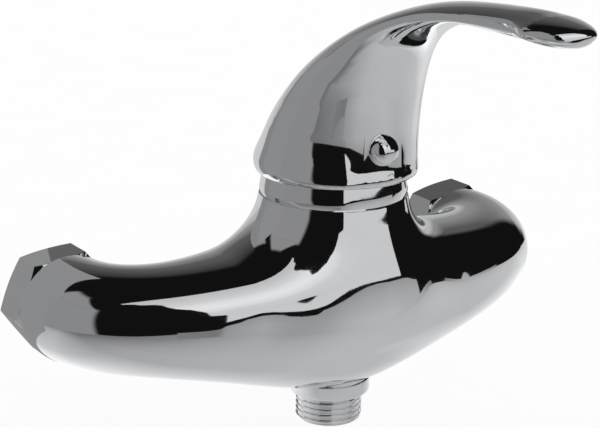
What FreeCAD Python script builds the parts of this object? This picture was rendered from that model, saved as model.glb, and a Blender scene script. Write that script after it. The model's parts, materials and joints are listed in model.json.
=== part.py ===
import FreeCAD, Part
import math
import os

# Wall-mounted single-lever shower mixer, made piece by piece. Millimetres, +Z up.
# The origin lies midway between the two inlet axes, in the plane of the union nuts' wall ends.
# +X runs along the inlets to the right of a person who faces the mixer, +Y runs into the wall.

Vector = FreeCAD.Vector

# Driving dimensions of the connections
inlet_centres = 150.0
nut_across_flats = 30.0
nut_length = 13.1
nut_thread_r = 12.06
nut_thread_length = 8.2
nut_relief_r = 12.5
nut_lip_thickness = 1.9
outlet_thread_r = 10.48
outlet_bore_r = 7.5
outlet_end_z = -40.2
outlet_thread_top_z = -31.4

# Fits
slip = 0.05
gap = 0.3

# Driving dimensions of the cast body, a bent tube that swells under a conical column
body_mouth_y = -(nut_length + gap)
mouth_r = 16.25
middle_y = -43.9
bend_start_power = 1.52
bend_end_power = 3.6
middle_half_depth = 27.2
middle_up = 21.0
middle_down = 30.9
middle_rise = 1.8
middle_squareness = 2.2
elbow_depths = (19.7, 14.8)
elbow_ups = (17.4, 12.0)
elbow_downs = (16.7, 12.7)
column_y = -45.3
column_top_z = 33.7
column_top_r = 22.9
column_flare = 12.0
column_foot_z = -5.0
blend_width = 12.5

# Driving dimensions of the ring and of the cartridge, from the column's rim inward
housing_step = 4.9
ring_r = column_top_r - 0.4
neck_r = ring_r - 1.9
nut_bore_r = neck_r - 1.6
chamber_r = nut_bore_r - 1.2
housing_r = chamber_r - gap
housing_neck_r = housing_r - housing_step
rotor_neck_r = housing_neck_r - 1.4
ring_hole_r = rotor_neck_r + 2.2
housing_wall = 2.0
chamber_floor_z = 3.2
neck_top_z = 39.5
shoulder_z = 30.5
housing_neck_top_z = 41.0
disc_thickness = 3.4
base_thickness = 6.0
port_r = 3.0
port_offset = 8.0
ring_shoulder_z = 40.7
ring_crown = 0.5
ring_top_z = 44.6

# Driving dimensions of the lever: ribs from the skirt up the neck and out along the arm.
# A rib holds the back point and the front point (forward, up), half the width, and the
# angles from the back at which the two edge lines on each side run, in degrees; the last
# number says how much of the edge lines' crease shows there.
skirt_r = ring_r + 2.6
skirt_forward = 0.7
lever_ribs = (
    ((skirt_forward - skirt_r, 44.5), (skirt_forward + skirt_r, 44.5), skirt_r, 62.0, 131.0, 0.0),
    ((-16.0, 58.0), (25.8, 57.0), 23.7, 75.0, 126.0, 0.3),
    ((-1.2, 74.3), (30.0, 73.4), 20.3, 78.0, 124.7, 0.5),
    ((20.5, 89.3), (41.0, 87.4), 14.4, 79.5, 126.0, 0.7),
    ((49.8, 100.0), (61.8, 95.7), 10.0, 77.4, 115.0, 0.9),
    ((83.0, 103.9), (87.0, 96.0), 8.0, 79.6, 107.0, 1.0),
    ((97.6, 103.8), (93.0, 96.3), 9.8, 97.9, 118.0, 1.0),
)
lever_bottom_z = 41.2
lever_tip_length = 13.2
lever_tip_dip = 0.09
tip_roundness = (0.87, 0.56)
lever_wall = 2.6
face_flattening = (0.02, 0.05, 0.05)
pivot_z = 33.0
stem_side = 8.0
stem_top_z = 61.0
stem_ball_z = 20.5
button_z = 52.4
button_r = 4.6

# Spacing of the sections of the body's skin, closer together beside the column
coarse_step = 6.0
fine_step = 3.4
blend_reach = 46.0
section_cap = 9.0
ray_length = 90.0
cutter_half = 99.0

# Inlet bushes and waterways
bush_r = 10.6
bush_end_y = -24.0
flange_r = 11.8
flange_thickness = 1.3
washer_thickness = 1.5
nut_turn = {-1: 6.35, 1: 10.2}
waterway_r = 7.5
cross_bore_r = 5.5
cross_bore_y = -42.0
cross_bore_z = -3.5
port_back = 3.0
port_places = ((-port_offset, -port_back), (port_offset, -port_back), (0.0, port_offset))
port_seal_r = 4.4
seal_height = 1.8

# Outlet nipple and check valve
outlet_shank_r = 9.6
outlet_shank_top_z = -14.0
outlet_seat_z = -23.4
outlet_boss_r = 12.9
outlet_boss_top_z = -26.2
o_ring_z = -20.5
valve_top_z = -17.0
valve_seat_r = 4.5
valve_stem_r = 1.2
valve_coil_r = 3.2
valve_wire_r = 0.35
valve_coils = 5
spider_z = -29.0

# Cartridge details
fixed_disc_r = housing_r - housing_wall - 1.0
carrier_r = 10.2
disc_pocket_r = 4.2
disc_pocket_depth = 1.8
disc_pocket_forward = 1.0
carrier_half_width = 8.5
carrier_top_z = 23.4
rotor_flange_top_z = 26.0
rotor_seal_z = 28.0
rotor_top_z = 41.6
rotor_slot_reach = 8.1
pivot_pin_r = 1.5
pivot_pin_half = 9.3
ball_r = 3.0
clamp_thread_length = 5.0
clamp_across_flats = 31.0
clamp_top_z = 40.5

# Lever details
boss_half = 6.5
boss_low_z = 48.5
boss_roof = 7.0
screw_r = 2.5
screw_length = 9.0
screw_gap = 6.5
button_plug_r = 2.9
button_sink = 0.9
button_rim = 0.4
plug_length = 5.0
skirt_wall = 1.7
cavity_roof = 1.25


def turned(steps, origin, axis, across):
    """Solid of revolution. A step is (radius, along), or a pair of such points for an arc:
    the point it passes and the point it reaches."""
    def place(p):
        return origin + across * p[0] + axis * p[1]
    start = place(steps[0])
    here = start
    edges = []
    for step in steps[1:]:
        if isinstance(step[0], tuple):
            through, there = place(step[0]), place(step[1])
            edges.append(Part.Arc(here, through, there).toShape())
        else:
            there = place(step)
            edges.append(Part.makeLine(here, there))
        here = there
    if (here - start).Length > 1e-9:
        edges.append(Part.makeLine(here, start))
    return Part.Face(Part.Wire(edges)).revolve(origin, axis, 360)


def on_column(steps):
    """Turned about the column's vertical axis, with heights above the inlet axes."""
    return turned(steps, Vector(0, column_y, 0), Vector(0, 0, 1), Vector(1, 0, 0))


def on_inlet(side, steps):
    """Turned about one inlet's axis, with distances toward the wall."""
    return turned(steps, Vector(side * inlet_centres / 2, 0, 0), Vector(0, 1, 0), Vector(1, 0, 0))


def ring(inner, outer, low, high, maker=on_column):
    return maker([(inner, low), (outer, low), (outer, high), (inner, high)])


def rod(radius, low, high, x=0.0, forward=0.0):
    """Upright cylinder beside the column's axis."""
    return Part.makeCylinder(radius, high - low, Vector(x, column_y - forward, low))


def block(x0, x1, back, front, low, high):
    """Upright box about the column's axis, with back and front counted forward."""
    return Part.makeBox(x1 - x0, front - back, high - low, Vector(x0, column_y - front, low))


def hexagon(across_flats, origin, axis, across, length):
    """Hexagonal prism with one corner on the across direction."""
    corner = across_flats / 2 / math.cos(math.pi / 6)
    other = axis.cross(across)
    points = []
    for i in range(7):
        turn = math.radians(60 * i)
        points.append(origin + across * (corner * math.cos(turn)) + other * (corner * math.sin(turn)))
    return Part.Face(Part.makePolygon(points)).extrude(axis * length)


def torus(radius, wire_r, z):
    return Part.makeTorus(radius, wire_r, Vector(0, column_y, z), Vector(0, 0, 1))


# The cast body

def skinned(rows):
    """Solid through a grid of points: each row is a closed outline, the ends are flat."""
    surface = Part.BSplineSurface()
    surface.interpolate(rows)
    tube = surface.toShape()
    ends = [Part.Face(Part.Wire([edge])) for edge in tube.Edges if edge.isClosed()]
    shell = Part.makeShell([tube] + ends)
    shell.sewShape()
    solid = Part.Solid(shell)
    if solid.Volume < 0:
        solid.reverse()
    return solid


def bernstein(values, t):
    """Smooth value along the tube from the mouth (t = 0) to the middle (t = 1)."""
    n = len(values) - 1
    return sum(math.comb(n, i) * v * t ** i * (1 - t) ** (n - i) for i, v in enumerate(values))


def spine_points(count=400):
    """Centre line of one arm: it leaves the mouth toward the front and turns to the middle."""
    turns = [math.pi / 2 * (1 - (1 - (i / count) ** bend_start_power) ** bend_end_power)
             for i in range(count + 1)]
    across, ahead = [0.0], [0.0]
    for a, b in zip(turns, turns[1:]):
        across.append(across[-1] + (math.sin(a) + math.sin(b)) / 2)
        ahead.append(ahead[-1] + (math.cos(a) + math.cos(b)) / 2)
    wide = inlet_centres / 2 / across[-1]
    deep = (body_mouth_y - middle_y) / ahead[-1]
    places = []
    for i, turn in enumerate(turns):
        direction = Vector(-math.sin(turn) * wide, -math.cos(turn) * deep, 0).normalize()
        x = inlet_centres / 2 - wide * across[i]
        y = body_mouth_y - deep * ahead[i]
        places.append((i / count, Vector(x, y, 0), direction))
    return places


def blended(a, b, width):
    """The smaller of two distances, with a rounded corner between them."""
    over = max(width - abs(a - b), 0.0) / width
    return min(a, b) - over * over * width / 4


def column_distance(p):
    """Distance outside the conical column, which fades out below its foot."""
    slope = math.radians(column_flare)
    cone = math.hypot(p.x, p.y - column_y) - column_top_r - math.tan(slope) * (column_top_z - p.z)
    return -blended(-cone * math.cos(slope), p.z - column_foot_z, blend_width)


def tube_radius(t, angle):
    """Distance from the spine to the tube's wall: a superellipse that is higher than deep."""
    depth = bernstein((mouth_r,) + elbow_depths + (middle_half_depth,) * 2, t)
    up = bernstein((mouth_r,) + elbow_ups + (middle_up,) * 2, t)
    down = bernstein((mouth_r,) + elbow_downs + (middle_down,) * 2, t)
    height = down + (up - down) * (0.5 + 0.5 * math.sin(angle))
    power = 2 + (middle_squareness - 2) * t * t * (3 - 2 * t)
    near = (abs(math.cos(angle)) / depth) ** power + (abs(math.sin(angle)) / height) ** power
    return near ** (-1 / power)


def body_section(t, centre, direction, count=36):
    """Points of one section, found by halving along rays from the spine."""
    centre = centre + Vector(0, 0, middle_rise * t * t * (3 - 2 * t))
    outward = Vector(-direction.y, direction.x, 0)
    points = []
    for i in range(count):
        angle = 2 * math.pi * i / count - math.pi / 2
        ray = outward * math.cos(angle) + Vector(0, 0, math.sin(angle))
        tube = tube_radius(t, angle)
        low, high = tube * 0.5, ray_length
        for _ in range(26):
            reach = (low + high) / 2
            point = centre + ray * reach
            inside = blended(reach - tube, column_distance(point), blend_width)
            cap = point.z - column_top_z - section_cap
            if max(inside, cap) < 0:
                low = reach
            else:
                high = reach
        points.append(centre + ray * low)
    points.append(points[0])
    return points


def body_skin():
    """The body's outside as one closed tube from mouth to mouth."""
    arm = []
    travelled, next_at = 0.0, 0.0
    spine = spine_points()
    for (t, here, direction), (_, there, _) in zip(spine, spine[1:]):
        if travelled >= next_at:
            arm.append(body_section(t, here, direction))
            next_at += fine_step if here.x < blend_reach else coarse_step
        travelled += (there - here).Length
    t, here, direction = spine[-1]
    arm.append(body_section(t, here, direction))
    other = [[Vector(-p.x, p.y, p.z) for p in section] for section in reversed(arm[:-1])]
    return skinned(arm + other)


def mixer_body():
    """Brass casting with its column, cartridge chamber, inlets and waterways."""
    body = body_skin()
    wide = cutter_half
    body = body.cut(block(-wide, wide, -wide, wide, column_top_z, column_top_z + wide))
    body = body.fuse(ring(chamber_r - 2, neck_r, column_top_z - 3, neck_top_z))
    hollow = on_column([
        (0, chamber_floor_z), (chamber_r, chamber_floor_z), (chamber_r, shoulder_z),
        (nut_bore_r, shoulder_z), (nut_bore_r, neck_top_z + 1), (0, neck_top_z + 1)])
    body = body.cut(hollow)
    shank_bore = outlet_shank_r + slip
    outlet = on_column([
        (0, outlet_shank_top_z + gap), (shank_bore, outlet_shank_top_z + gap),
        (shank_bore, outlet_seat_z), (outlet_boss_r + 0.2, outlet_seat_z),
        (outlet_boss_r + 0.2, outlet_end_z), (0, outlet_end_z)])
    body = body.cut(outlet)
    for side in (-1, 1):
        edge = mouth_r - 0.6
        bush = bush_r + slip
        mouth = on_inlet(side, [
            (0, body_mouth_y + 1), (bush, body_mouth_y + 1), (bush, bush_end_y - gap),
            (waterway_r, bush_end_y - gap), (waterway_r, cross_bore_y), (0, cross_bore_y)])
        rim = on_inlet(side, [
            (edge, body_mouth_y), (mouth_r + 1, body_mouth_y), (mouth_r + 1, body_mouth_y - 1.6)])
        body = body.cut(mouth).cut(rim)
        start = Vector(side * (inlet_centres / 2 - 2), cross_bore_y, cross_bore_z)
        length = inlet_centres / 2 - 2 - port_offset + cross_bore_r
        body = body.cut(Part.makeCylinder(cross_bore_r, length, start, Vector(-side, 0, 0)))
        body = body.cut(rod(port_r, cross_bore_z, chamber_floor_z + 1, side * port_offset, -port_back))
    body = body.cut(rod(port_r, outlet_shank_top_z, chamber_floor_z + 1, 0, port_offset))
    return body.removeSplitter()


# Inlet unions

def union_nut(side):
    """Nut that draws the mixer onto the wall unions; it turns on the bush's flange."""
    turn = math.radians(nut_turn[side])
    across = Vector(math.cos(turn), 0, math.sin(turn))
    origin = Vector(side * inlet_centres / 2, -nut_length, 0)
    blank = hexagon(nut_across_flats, origin, Vector(0, 1, 0), across, nut_length)
    face_r = nut_across_flats / 2 - 0.4
    corner_r = nut_across_flats / 2 / math.cos(math.pi / 6) + 0.1
    bevel = (corner_r - face_r) * math.tan(math.radians(27))
    turned_blank = on_inlet(side, [
        (0, -nut_length), (face_r, -nut_length), (corner_r, -nut_length + bevel),
        (corner_r, -bevel), (face_r, 0), (0, 0)])
    bore = on_inlet(side, [
        (0, 1), (nut_thread_r, 1), (nut_thread_r, -nut_thread_length),
        (nut_relief_r, -nut_thread_length), (nut_relief_r, nut_lip_thickness - nut_length),
        (bush_r + gap, nut_lip_thickness - nut_length), (bush_r + gap, -nut_length - 1),
        (0, -nut_length - 1)])
    return blank.common(turned_blank).cut(bore)


def inlet_bush(side):
    """Flanged tube screwed into the body's mouth; its flange carries the union nut."""
    flange_front = nut_lip_thickness - nut_length + gap
    return on_inlet(side, [
        (waterway_r + 0.5, flange_front + flange_thickness),
        (flange_r, flange_front + flange_thickness), (flange_r, flange_front),
        (bush_r, flange_front), (bush_r, bush_end_y), (waterway_r + 0.5, bush_end_y)])


def sealing_washer(side):
    """Flat rubber washer between the bush's flange and the wall union."""
    low = nut_lip_thickness - nut_length + gap + flange_thickness
    maker = lambda steps: on_inlet(side, steps)
    return ring(waterway_r, flange_r, low, low + washer_thickness, maker)


# Shower outlet with its check valve

def shower_outlet_nipple():
    """Threaded hose connection, with a boss that stands in the body's underside."""
    groove_r = outlet_shank_r - 1.15
    return on_column([
        (outlet_bore_r, outlet_end_z), (outlet_thread_r - 0.9, outlet_end_z),
        (outlet_thread_r, outlet_end_z + 0.9), (outlet_thread_r, outlet_thread_top_z),
        (outlet_thread_r + 0.35, outlet_thread_top_z),
        ((outlet_boss_r - 0.75, outlet_thread_top_z + 0.55),
         (outlet_boss_r - 0.25, outlet_thread_top_z + 1.8)),
        (outlet_boss_r, outlet_boss_top_z), (outlet_boss_r - 0.6, outlet_boss_top_z + 0.25),
        (outlet_boss_r - 0.6, outlet_seat_z), (outlet_shank_r, outlet_seat_z),
        (outlet_shank_r, o_ring_z - 0.9), (groove_r, o_ring_z - 0.9),
        (groove_r, o_ring_z + 0.9), (outlet_shank_r, o_ring_z + 0.9),
        (outlet_shank_r, outlet_shank_top_z), (outlet_bore_r, outlet_shank_top_z)])


def outlet_o_ring():
    return torus(outlet_shank_r - 0.6, 0.55, o_ring_z)


def check_valve_housing():
    """Sleeve with a seat at its top and a spider below that guides the poppet's stem."""
    wall_r = outlet_bore_r - slip
    inner = wall_r - 1.1
    sleeve = on_column([
        (valve_seat_r, valve_top_z), (wall_r, valve_top_z), (wall_r, spider_z - 1.6),
        (inner, spider_z - 1.6), (inner, valve_top_z - 1.2), (valve_seat_r, valve_top_z - 1.2)])
    hub = ring(0, 2.5, spider_z - 1.6, spider_z)
    for turn in range(0, 180, 60):
        bar = block(-inner - 0.2, inner + 0.2, -0.6, 0.6, spider_z - 1.6, spider_z)
        bar.rotate(Vector(0, column_y, 0), Vector(0, 0, 1), turn)
        hub = hub.fuse(bar)
    return sleeve.fuse(hub).cut(rod(valve_stem_r + gap, spider_z - 3, spider_z + 1)).removeSplitter()


def check_valve_poppet():
    """Disc on a stem; water pushes it down off its seat."""
    top = valve_top_z - 1.2
    return on_column([
        (0, top), (valve_seat_r + 0.9, top), (valve_seat_r + 0.9, top - 0.9),
        (valve_seat_r - 0.6, top - 1.5), (valve_stem_r, top - 1.5), (valve_stem_r, spider_z - 2.2),
        (0, spider_z - 2.2)])


def check_valve_spring():
    """Coil spring from the spider up to the poppet."""
    top = valve_top_z - 1.2 - 1.5 - valve_wire_r
    low = spider_z + valve_wire_r
    height = top - low
    coil = Part.makeHelix(height / valve_coils, height, valve_coil_r)
    coil.translate(Vector(0, column_y, low))
    start = Vector(valve_coil_r, column_y, low)
    wire = Part.Wire(Part.makeCircle(valve_wire_r, start, Vector(0, 1, 0)))
    return Part.Wire(coil.Edges).makePipeShell([wire], True, True)


# Ceramic disc cartridge

def cartridge_base():
    """Bottom plate that leads the three waterways to the discs."""
    top = chamber_floor_z + base_thickness
    plate = ring(0, housing_r, chamber_floor_z, top)
    for x, forward in port_places:
        plate = plate.cut(rod(port_r, chamber_floor_z - 1, top + 1, x, forward))
        plate = plate.cut(rod(port_seal_r, chamber_floor_z - 1, chamber_floor_z + seal_height, x, forward))
    return plate


def port_seals():
    """Three rubber rings pressed between the plate and the chamber's floor."""
    seals = []
    for x, forward in port_places:
        outside = rod(port_seal_r, chamber_floor_z, chamber_floor_z + seal_height, x, forward)
        inside = rod(port_r + 0.1, chamber_floor_z - 1, chamber_floor_z + seal_height + 1, x, forward)
        seals.append(outside.cut(inside))
    return Part.makeCompound(seals)


def fixed_disc():
    """Ceramic disc with the hot, cold and mixed water ports."""
    low = chamber_floor_z + base_thickness
    disc = ring(0, fixed_disc_r, low, low + disc_thickness)
    for x, forward in port_places:
        disc = disc.cut(rod(port_r, low - 1, low + disc_thickness + 1, x, forward))
    return disc


def moving_disc():
    """Ceramic disc whose hollow underside opens one port to another as it slides."""
    low = chamber_floor_z + base_thickness + disc_thickness
    disc = ring(0, carrier_r, low, low + disc_thickness)
    return disc.cut(rod(disc_pocket_r, low - 1, low + disc_pocket_depth, 0, disc_pocket_forward))


def disc_carrier():
    """Slide that holds the moving disc and takes the lever's ball in its pocket."""
    low = carrier_low_z()
    blank = ring(0, carrier_r, low, carrier_top_z)
    half = carrier_half_width
    blank = blank.common(block(-half, half, -carrier_r, carrier_r, low, carrier_top_z))
    side = ball_r + gap
    return blank.cut(block(-side, side, -side, side, stem_ball_z - ball_r - gap, carrier_top_z + 1))


def carrier_low_z():
    return chamber_floor_z + base_thickness + 2 * disc_thickness


def cartridge_housing():
    """Plastic can with a neck for the rotor; the clamp nut bears on its shoulder."""
    low = chamber_floor_z + base_thickness
    roof = rotor_flange_top_z + gap
    return on_column([
        (housing_r - housing_wall, low), (housing_r, low), (housing_r, shoulder_z),
        (housing_neck_r, shoulder_z), (housing_neck_r, housing_neck_top_z),
        (rotor_neck_r + slip, housing_neck_top_z), (rotor_neck_r + slip, roof),
        (housing_r - housing_wall, roof)])


def rotor():
    """Turret that turns with the lever, guides the disc carrier and holds the pivot pin."""
    flange_r = housing_r - housing_wall - gap
    blank = on_column([
        (0, carrier_top_z + gap), (flange_r, carrier_top_z + gap), (flange_r, rotor_flange_top_z),
        (rotor_neck_r, rotor_flange_top_z), (rotor_neck_r, rotor_seal_z - 0.9),
        (rotor_neck_r - 1.6, rotor_seal_z - 0.9), (rotor_neck_r - 1.6, rotor_seal_z + 0.9),
        (rotor_neck_r, rotor_seal_z + 0.9), (rotor_neck_r, rotor_top_z), (0, rotor_top_z)])
    for side in (-1, 1):
        inner = side * (carrier_half_width + gap)
        outer = side * (flange_r - 2.0)
        rail = block(min(inner, outer), max(inner, outer), -6, 6, carrier_low_z() + 1, carrier_top_z + 1)
        blank = blank.fuse(rail)
    slot = stem_side / 2 + gap
    blank = blank.cut(block(-slot, slot, -rotor_slot_reach, rotor_slot_reach, 0, rotor_top_z + 1))
    return blank.cut(pivot_rod(pivot_pin_r + 0.02, pivot_pin_half + gap)).removeSplitter()


def pivot_rod(radius, half):
    start = Vector(-half, column_y, pivot_z)
    return Part.makeCylinder(radius, 2 * half, start, Vector(1, 0, 0))


def rotor_o_ring():
    return torus(rotor_neck_r - 0.8, 0.78, rotor_seal_z)


def stem_pivot_pin():
    return pivot_rod(pivot_pin_r, pivot_pin_half)


def lever_stem():
    """Square stem on the pivot pin, with a ball at its foot that pushes the carrier."""
    half = stem_side / 2
    shank = block(-half, half, -half, half, pivot_z - 4, stem_top_z)
    foot = rod(2.0, stem_ball_z, pivot_z - 3)
    ball = Part.makeSphere(ball_r, Vector(0, column_y, stem_ball_z))
    stem = shank.fuse(foot).fuse(ball)
    return stem.cut(pivot_rod(pivot_pin_r + slip, stem_side)).removeSplitter()


def cartridge_nut():
    """Brass clamp nut in the neck's thread, with a hexagon for the spanner."""
    split = shoulder_z + clamp_thread_length
    thread = ring(0, nut_bore_r - slip, shoulder_z, split)
    head = hexagon(clamp_across_flats, Vector(0, column_y, split), Vector(0, 0, 1),
                   Vector(1, 0, 0), clamp_top_z - split)
    return thread.fuse(head).cut(rod(housing_neck_r + gap, shoulder_z - 1, clamp_top_z + 1)).removeSplitter()


def dome_ring():
    """Chrome ring that covers the clamp nut and continues the column upward."""
    inner = neck_r + 0.15
    mid_r, mid_z = ring_r - 2.2, ring_top_z - 1.1
    middle_z = (column_top_z + ring_shoulder_z) / 2
    return on_column([
        (inner, column_top_z), (ring_r, column_top_z),
        ((ring_r - ring_crown * 0.3, middle_z), (ring_r - ring_crown, ring_shoulder_z)),
        ((mid_r, mid_z), (ring_hole_r + 1.5, ring_top_z)), (ring_hole_r, ring_top_z),
        (ring_hole_r, clamp_top_z + 0.6), (inner - 2.0, clamp_top_z + 0.6),
        (inner, clamp_top_z - 1.0)])


# The lever

def rib_point(rib, angle):
    """Point of a lever rib; the angle runs from the back point round to the front point."""
    (back_u, back_z), (front_u, front_z), half, edge_a, edge_b, sharp = rib
    a = abs(angle)
    first, second = math.radians(edge_a), math.radians(edge_b)
    top, side, face = face_flattening
    if a < first:
        dent = top * math.cos(math.pi * a / (2 * first))
    elif a < second:
        dent = side * math.sin(math.pi * (a - first) / (second - first))
    else:
        dent = face * math.cos(math.pi * (math.pi - a) / (2 * (math.pi - second)))
    size = 1 - sharp * dent
    along = -math.cos(angle) * size
    u = (back_u + front_u) / 2 + (front_u - back_u) / 2 * along
    z = (back_z + front_z) / 2 + (front_z - back_z) / 2 * along
    return Vector(half * math.sin(angle) * size, column_y - u, z)


def four_curves(stops, count, place):
    """Closed wire of four smooth curves that meet at the stops' angles."""
    edges = []
    for start, end in zip(stops, stops[1:] + [stops[0] + 2 * math.pi]):
        points = [place(start + (end - start) * i / count) for i in range(count + 1)]
        curve = Part.BSplineCurve()
        curve.interpolate(Points=points, Parameters=[i / count for i in range(count + 1)])
        edges.append(curve.toShape())
    return Part.Wire(edges)


def rib_wire(rib, shape=lambda p: p):
    """Outline of a rib; its four curves meet on the lever's edge lines."""
    first, second = math.radians(rib[3]), math.radians(rib[4])
    stops = [-first, first, second, 2 * math.pi - second]
    return four_curves(stops, 8, lambda a: shape(rib_point(rib, a if a < math.pi else a - 2 * math.pi)))


def lever_rib(position):
    """Rib at any place along the lever; whole numbers are the listed ones."""
    last = len(lever_ribs) - 1
    i = max(0, min(int(position), last - 1))
    f = position - i

    def mixed(pick):
        p1, p2 = pick(lever_ribs[i]), pick(lever_ribs[i + 1])
        if f > 1:
            return p1 + (p2 - p1) * f
        p0 = pick(lever_ribs[i - 1]) if i > 0 else 2 * p1 - p2
        p3 = pick(lever_ribs[i + 2]) if i + 2 <= last else 2 * p2 - p1
        curve = p0 * (-0.5 * f + f ** 2 - 0.5 * f ** 3) + p1 * (1 - 2.5 * f ** 2 + 1.5 * f ** 3)
        return curve + p2 * (0.5 * f + 2 * f ** 2 - 1.5 * f ** 3) + p3 * (0.5 * f ** 3 - 0.5 * f ** 2)
    back = (mixed(lambda r: r[0][0]), mixed(lambda r: r[0][1]))
    front = (mixed(lambda r: r[1][0]), mixed(lambda r: r[1][1]))
    return (back, front, mixed(lambda r: r[2]), mixed(lambda r: r[3]), mixed(lambda r: r[4]),
            mixed(lambda r: r[5]))


def lever_outside():
    """Skirt, neck and arm as one loft, rounded in below the skirt and out at the tip."""
    first, last = lever_ribs[0], lever_ribs[-1]
    middle = Vector(0, column_y - (first[0][0] + first[1][0]) / 2, 0)
    wires = []
    for rise, size in ((0, 0.962), (0.9, 0.985)):

        def squeezed(p, rise=rise, size=size):
            flat = middle + (Vector(p.x, p.y, 0) - middle) * size
            return Vector(flat.x, flat.y, lever_bottom_z + rise)
        wires.append(rib_wire(first, squeezed))
    wires += [rib_wire(lever_rib(i / 2)) for i in range(2 * len(lever_ribs) - 1)]
    centre = Vector(0, column_y - (last[0][0] + last[1][0]) / 2, (last[0][1] + last[1][1]) / 2)
    for degrees in (20, 38, 54, 67, 77, 84, 88):
        turn = math.radians(degrees)
        ahead = Vector(0, -1, -lever_tip_dip) * (lever_tip_length * math.sin(turn))
        across, thick = (math.cos(turn) ** power for power in tip_roundness)

        def drawn_in(p, across=across, thick=thick, ahead=ahead):
            away = p - centre
            return centre + Vector(away.x * across, away.y * thick, away.z * thick) + ahead
        wires.append(rib_wire(last, drawn_in))
    return Part.makeLoft(wires, True, False)


def oval(rib, half, inner, outer, centre):
    """Oval in a rib's plane; inner, outer and centre are lengths along the rib's chord."""
    back = Vector(0, column_y - rib[0][0], rib[0][1])
    front = Vector(0, column_y - rib[1][0], rib[1][1])
    chord = (front - back).normalize()

    def place(a):
        reach = centre - (inner if math.cos(a) > 0 else outer) * math.cos(a)
        return back + chord * reach + Vector(half * math.sin(a), 0, 0)
    return four_curves([math.pi * quarter / 2 for quarter in range(4)], 6, place)


def chord_length(rib):
    return math.hypot(rib[1][0] - rib[0][0], rib[1][1] - rib[0][1])


def lever_cavity():
    """Hollow of the skirt, open at the bottom, with a flat roof."""
    first = lever_ribs[0]
    rows = []
    for low in (lever_bottom_z - 4, lever_bottom_z - 1.5, first[0][1] - 1.5):
        flat = ((first[0][0], low), (first[1][0], low), first[2])
        half = chord_length(flat) / 2
        rows.append(oval(flat, flat[2] - skirt_wall, half - skirt_wall, half - skirt_wall, half))
    for step in range(1, 6):
        rib = lever_rib(cavity_roof * step / 5)
        half = chord_length(rib) / 2
        wall = skirt_wall + (lever_wall - skirt_wall) * step / 5
        rows.append(oval(rib, rib[2] - wall, half - wall, half - wall, half))
    return Part.makeLoft(rows, True, False)


def button_axis_rod(radius, back, front):
    start = Vector(0, column_y - back, button_z)
    return Part.makeCylinder(radius, front - back, start, Vector(0, -1, 0))


def lever_handle():
    """Cast handle: a hollow skirt with a boss for the stem, and a solid arm."""
    handle = lever_outside().cut(lever_cavity())
    wall_front = lever_ribs[0][1][0] - 1.0
    boss = block(-boss_half, boss_half, -boss_half, wall_front, boss_low_z, stem_top_z + boss_roof)
    handle = handle.fuse(boss)
    socket = stem_side / 2 + slip
    handle = handle.cut(block(-socket, socket, -socket, socket, boss_low_z - 1, stem_top_z + gap))
    handle = handle.cut(button_axis_rod(screw_r + slip, stem_side / 2 - 1, button_seat() - screw_gap))
    handle = handle.cut(button_axis_rod(button_plug_r + slip, button_seat() - screw_gap - 1, 40))
    handle = handle.cut(button_axis_rod(button_r + 0.1, button_seat(), 40))
    return handle.removeSplitter()


def button_seat():
    """Distance forward at which the index button's flat back lies in the skirt."""
    return lever_ribs[0][1][0] - button_sink


def handle_set_screw():
    """Grub screw that holds the handle on the stem, with a socket for a hexagon key."""
    back = stem_side / 2 + 0.02
    screw = button_axis_rod(screw_r, back, back + screw_length)
    key = hexagon(2.5, Vector(0, column_y - back - screw_length, button_z), Vector(0, 1, 0),
                  Vector(1, 0, 0), 2.5)
    return screw.cut(key)


def index_button():
    """Polished dome that closes the set screw's hole."""
    seat = button_seat()
    plug = button_axis_rod(button_plug_r, seat - plug_length, seat)
    disc = button_axis_rod(button_r, seat, seat + button_rim)
    centre = Vector(0, column_y - seat - button_rim, button_z)
    dome = Part.makeSphere(button_r, centre, Vector(0, -1, 0), 0, 90, 360)
    return plug.fuse(disc).fuse(dome).removeSplitter()


def pieces():
    """Every separate piece of the mixer by name."""
    named = {
        "mixer_body": mixer_body(),
        "shower_outlet_nipple": shower_outlet_nipple(),
        "outlet_o_ring": outlet_o_ring(),
        "check_valve_housing": check_valve_housing(),
        "check_valve_poppet": check_valve_poppet(),
        "check_valve_spring": check_valve_spring(),
        "cartridge_base": cartridge_base(),
        "port_seals": port_seals(),
        "fixed_disc": fixed_disc(),
        "moving_disc": moving_disc(),
        "disc_carrier": disc_carrier(),
        "cartridge_housing": cartridge_housing(),
        "rotor": rotor(),
        "rotor_o_ring": rotor_o_ring(),
        "stem_pivot_pin": stem_pivot_pin(),
        "lever_stem": lever_stem(),
        "cartridge_nut": cartridge_nut(),
        "dome_ring": dome_ring(),
        "lever_handle": lever_handle(),
        "handle_set_screw": handle_set_screw(),
        "index_button": index_button(),
    }
    for name, side in (("hot", -1), ("cold", 1)):
        named[name + "_union_nut"] = union_nut(side)
        named[name + "_inlet_bush"] = inlet_bush(side)
        named[name + "_sealing_washer"] = sealing_washer(side)
    return named


os.makedirs("parts", exist_ok=True)
for name, shape in pieces().items():
    shape.exportStep("parts/" + name + ".step")
    print(name, "solids", len(shape.Solids), "valid", shape.isValid(), "mm3", round(shape.Volume, 1))
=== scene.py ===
# %% [markdown]
# # A chrome shower mixer in a white studio
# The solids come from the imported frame. This notebook gives them their surfaces: smooth welded
# copies for the plated castings, a lathe-cut outlet with its real thread, and a finish for every
# inner piece. Then it builds the studio that the chrome mirrors, the floor and the camera.

# %% Load the frame
import json
import math

import bmesh
import bpy
import numpy as np
from mathutils import Matrix


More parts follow.
